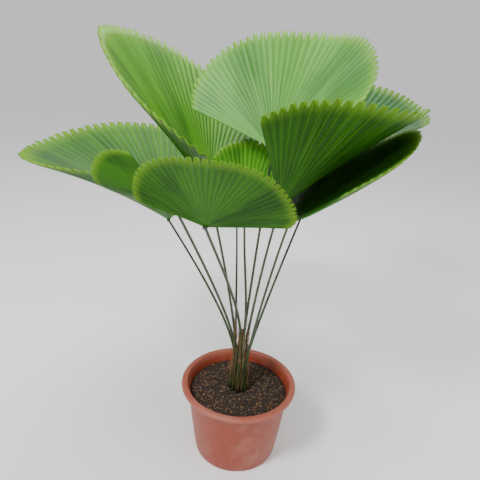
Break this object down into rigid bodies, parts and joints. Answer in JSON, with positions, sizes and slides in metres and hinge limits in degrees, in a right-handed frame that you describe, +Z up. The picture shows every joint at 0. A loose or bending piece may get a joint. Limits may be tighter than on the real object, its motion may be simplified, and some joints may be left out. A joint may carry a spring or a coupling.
{
  "type": "potted ruffled fan palm",
  "caption": "Young ruffled fan palm in a round terracotta-coloured nursery pot, with pleated toothed fan blades on thin stalks.",
  "frame": {"origin": "centre of the pot's flat underside", "axes": "+Z up along the pot's axis, -Y towards the front view, +X to the right of that view"},
  "size_m": [1.0902, 1.1009, 1.0685],
  "materials": {
    "pot": "dusty moulded plastic",
    "soil": "loose potting mix",
    "stem": "fibrous",
    "stalk": "satin",
    "blade": "waxy pleated leaf"
  },
  "bodies": {
    "root": {"pot": "pot", "soil": "soil", "stem": "stem", "stalk_upper_left": "stalk", "blade_upper_left": "blade", "stalk_upper_right": "stalk", "blade_upper_right": "blade", "stalk_right": "stalk", "blade_right": "blade", "stalk_back_right": "stalk", "blade_back_right": "blade", "stalk_low_right": "stalk", "blade_low_right": "blade", "stalk_left": "stalk", "blade_left": "blade", "stalk_front_left": "stalk", "blade_front_left": "blade", "stalk_front": "stalk", "blade_front": "blade", "stalk_back": "stalk", "blade_back": "blade", "stalk_young": "stalk", "blade_young": "blade"}
  },
  "joints": []
}
